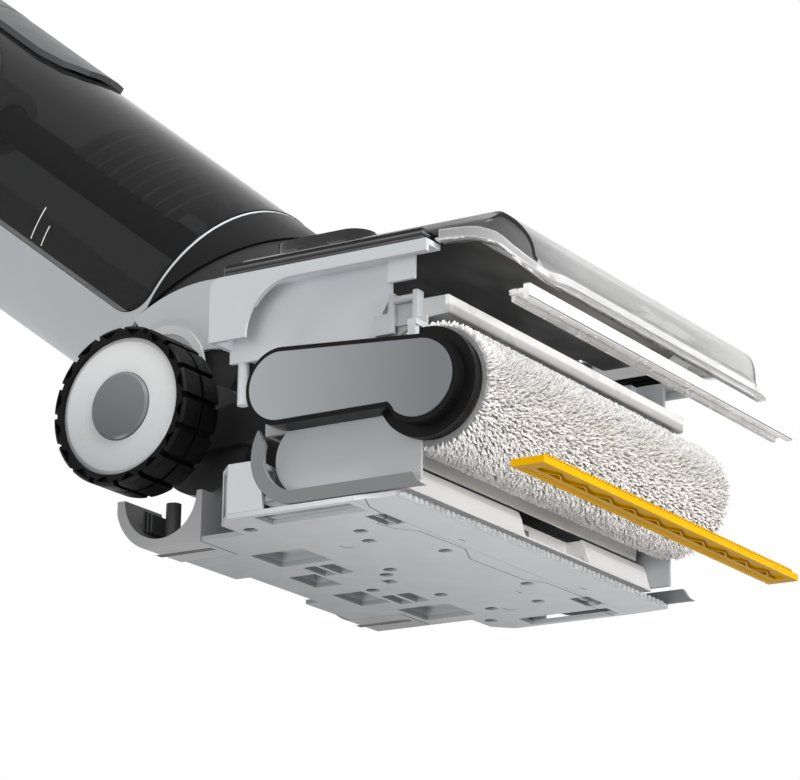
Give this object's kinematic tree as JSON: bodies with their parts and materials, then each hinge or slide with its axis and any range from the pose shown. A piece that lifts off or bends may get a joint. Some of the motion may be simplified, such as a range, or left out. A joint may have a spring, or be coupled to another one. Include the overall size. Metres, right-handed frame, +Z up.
{
  "type": "wet dry floor scrubber",
  "caption": "Upright wet and dry floor washer opened for cleaning: powered roller head with lifted clear cover, lowered base, tanks on a reclined body, and a long handle.",
  "frame": {"origin": "On the underside of the base plate, midway across, on the zero line of the head", "axes": "+Z up, -Y to the front of the machine (roller side), +X to its left seen from behind the handle; the body leans to +Y"},
  "size_m": [0.258, 1.1249, 0.7138],
  "materials": {
    "light_grey": "fine satin grain",
    "mid_grey": "fine satin grain",
    "dark_grey": "satin",
    "black_plastic": "matte",
    "white_plastic": "semi-gloss",
    "body_grey": "soft satin",
    "smoke_clear": "glossy smoked clear plastic",
    "clear_plastic": "glossy clear plastic",
    "lid_clear": "glossy clear plastic",
    "pile": "short dense pile, speckled",
    "rubber_black": "ribbed",
    "disc_grey": "satin",
    "cap_grey": "satin",
    "steel": "ground",
    "motor_alu": "cast",
    "yellow": "semi-gloss",
    "clear_rubber": "translucent soft",
    "glass_black": "gloss",
    "button_grey": "satin",
    "screw_steel": "dark zinc"
  },
  "bodies": {
    "chassis": {"chassis": "dark_grey", "chamber_lip": "white_plastic", "drive_arm": "black_plastic", "drive_arm_cover": "mid_grey", "far_side_cover": "light_grey", "front_bracket_near": "light_grey", "front_bracket_far": "light_grey", "roller_motor": "motor_alu", "axle_rod": "steel", "axle_carrier": "dark_grey"},
    "roller": {"roller_core": "white_plastic", "roller_pile": "pile", "roller_end_ring": "black_plastic"},
    "wheel_near": {"near_wheel_disc": "disc_grey", "near_wheel_cap": "cap_grey", "near_wheel_tyre": "rubber_black"},
    "wheel_far": {"far_wheel_disc": "disc_grey", "far_wheel_cap": "cap_grey", "far_wheel_tyre": "rubber_black"},
    "neck": {"pivot_barrel": "dark_grey", "neck_cover": "light_grey", "neck_arms": "dark_grey", "neck_block": "dark_grey", "hose_collar": "mid_grey"},
    "upper_body": {"main_housing": "body_grey", "suction_motor": "motor_alu", "battery_pack": "black_plastic", "display_window": "glass_black", "handle_tube": "body_grey", "grip": "dark_grey"},
    "fan": {"fan_wheel": "black_plastic"},
    "power_key": {"power_button": "button_grey"},
    "mode_key": {"mode_button": "button_grey"},
    "waste_tank": {"dirty_tank": "smoke_clear", "tank_stand_pipe": "dark_grey", "tank_lid": "lid_clear", "tank_comb": "dark_grey", "tank_handle": "body_grey"},
    "float": {"tank_float": "white_plastic"},
    "latch": {"tank_latch": "button_grey"},
    "water_tank": {"clean_tank": "clear_plastic"},
    "top_cover": {"upper_frame": "light_grey", "clear_cover": "clear_plastic", "cover_rail": "dark_grey"},
    "release_near": {"release_button_near": "light_grey"},
    "release_far": {"release_button_far": "light_grey"},
    "scraper": {"clear_scraper": "clear_plastic"},
    "base": {"base_tray": "light_grey", "base_plate": "light_grey", "front_plate": "light_grey", "cradle_near": "dark_grey", "cradle_far": "dark_grey", "side_trim_near": "mid_grey", "side_trim_far": "mid_grey", "suction_scoop": "white_plastic", "toothed_strip": "clear_rubber", "base_screws": "screw_steel"},
    "glide_near": {"support_roller_near": "mid_grey"},
    "glide_far": {"support_roller_far": "mid_grey"},
    "comb": {"hair_comb": "yellow"}
  },
  "joints": [
    {"name": "roller_spin", "type": "hinge", "parent": "chassis", "child": "roller", "pos_m": [0, -0.0569, 0.0504], "axis": [1, 0, 0], "continuous": true},
    {"name": "wheel_near_spin", "type": "hinge", "parent": "chassis", "child": "wheel_near", "pos_m": [-0.115, 0.1036, 0.0611], "axis": [1, 0, 0], "continuous": true},
    {"name": "wheel_far_spin", "type": "hinge", "parent": "chassis", "child": "wheel_far", "pos_m": [0.115, 0.1036, 0.0611], "axis": [1, 0, 0], "continuous": true},
    {"name": "neck_tilt", "type": "hinge", "parent": "chassis", "child": "neck", "pos_m": [0, 0.1036, 0.0611], "axis": [1, 0, 0], "range_deg": [-34, 32]},
    {"name": "body_swivel", "type": "hinge", "parent": "neck", "child": "upper_body", "pos_m": [0, 0.13128, 0.13949], "axis": [0, 0.5061, 0.8625], "range_deg": [-40, 40]},
    {"name": "fan_spin", "type": "hinge", "parent": "upper_body", "child": "fan", "pos_m": [0, 0.36592, 0.34337], "axis": [0, 0.7955, 0.606], "continuous": true},
    {"name": "power_press", "type": "slide", "parent": "upper_body", "child": "power_key", "axis": [0, -0.0819, -0.9966], "range_m": [0, 0.0012], "stiffness_N_per_m": 300},
    {"name": "mode_press", "type": "slide", "parent": "upper_body", "child": "mode_key", "axis": [0, -0.0819, -0.9966], "range_m": [0, 0.0012], "stiffness_N_per_m": 300},
    {"name": "waste_tank_lift_off", "type": "slide", "parent": "upper_body", "child": "waste_tank", "axis": [0, -0.606, 0.7955], "range_m": [0, 0.15]},
    {"name": "float_rise", "type": "slide", "parent": "waste_tank", "child": "float", "axis": [0, 0.7955, 0.606], "range_m": [0, 0.033]},
    {"name": "latch_press", "type": "slide", "parent": "waste_tank", "child": "latch", "axis": [0, 0.606, -0.7955], "range_m": [0, 0.002], "stiffness_N_per_m": 300},
    {"name": "water_tank_lift_off", "type": "slide", "parent": "upper_body", "child": "water_tank", "axis": [0, 0.606, -0.7955], "range_m": [0, 0.12]},
    {"name": "top_cover_close", "type": "slide", "parent": "chassis", "child": "top_cover", "axis": [0, 0, -1], "range_m": [0, 0.024]},
    {"name": "release_near_press", "type": "slide", "parent": "top_cover", "child": "release_near", "axis": [0, 0, -1], "range_m": [0, 0.003], "stiffness_N_per_m": 500},
    {"name": "release_far_press", "type": "slide", "parent": "top_cover", "child": "release_far", "axis": [0, 0, -1], "range_m": [0, 0.003], "stiffness_N_per_m": 500},
    {"name": "scraper_seat", "type": "slide", "parent": "top_cover", "child": "scraper", "axis": [0, 0, 1], "range_m": [0, 0.0055]},
    {"name": "base_close", "type": "slide", "parent": "chassis", "child": "base", "axis": [0, 0.4338, 0.901], "range_m": [0, 0.02997]},
    {"name": "glide_near_spin", "type": "hinge", "parent": "base", "child": "glide_near", "pos_m": [-0.092, -0.0188, 0.0047], "axis": [1, 0, 0], "continuous": true},
    {"name": "glide_far_spin", "type": "hinge", "parent": "base", "child": "glide_far", "pos_m": [0.092, -0.0188, 0.0047], "axis": [1, 0, 0], "continuous": true},
    {"name": "comb_seat", "type": "slide", "parent": "base", "child": "comb", "axis": [0, 0.9992, -0.04], "range_m": [0, 0.07506]}
  ]
}
